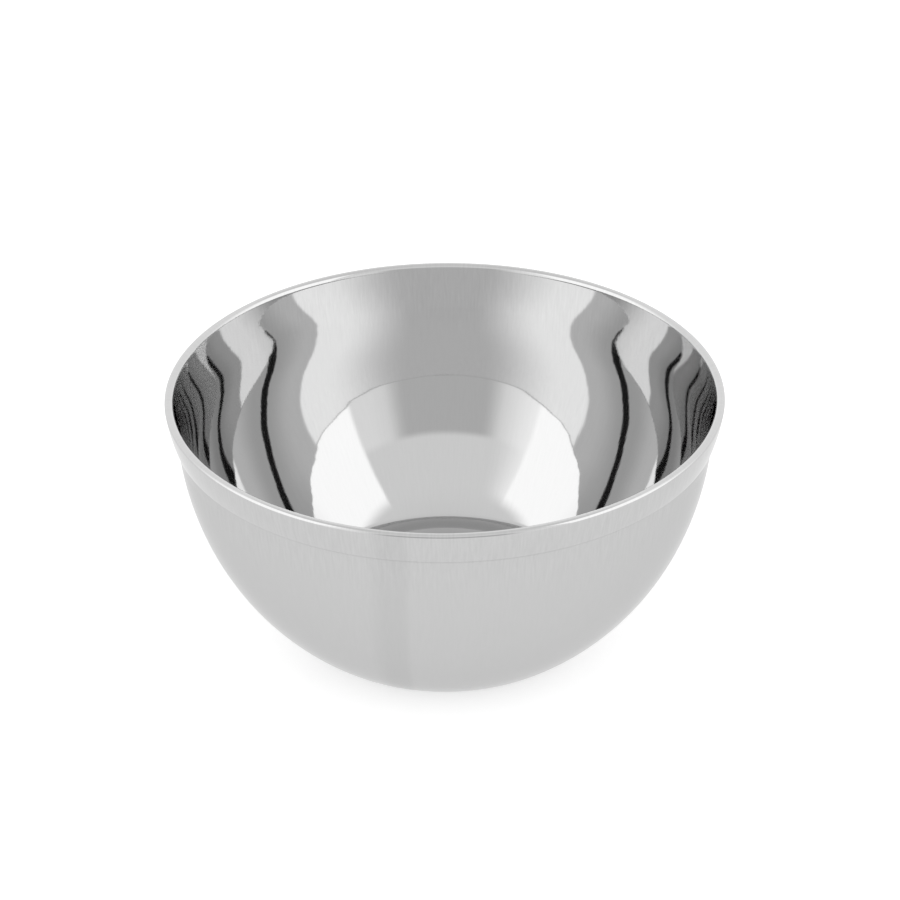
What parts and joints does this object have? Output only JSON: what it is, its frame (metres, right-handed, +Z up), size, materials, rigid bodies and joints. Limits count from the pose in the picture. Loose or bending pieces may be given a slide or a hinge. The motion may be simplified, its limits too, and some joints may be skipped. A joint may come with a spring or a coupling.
{
  "type": "lather bowl",
  "caption": "Round polished stainless steel shaving lather bowl, double walled and nearly hemispherical, with a smooth band round the rim and a flat underside.",
  "frame": {"origin": "centre of the flat underside, on the table", "axes": "+Z up along the axis of the bowl; the bowl is round, so X and Y are any two directions across it"},
  "size_m": [0.115, 0.115, 0.054],
  "materials": {
    "inside_steel": "mirror-polished stainless steel with fine polishing lines",
    "outside_steel": "polished stainless steel, slightly softer than the inside"
  },
  "bodies": {
    "root": {"inner_bowl": "inside_steel", "outer_bowl": "outside_steel"}
  },
  "joints": []
}
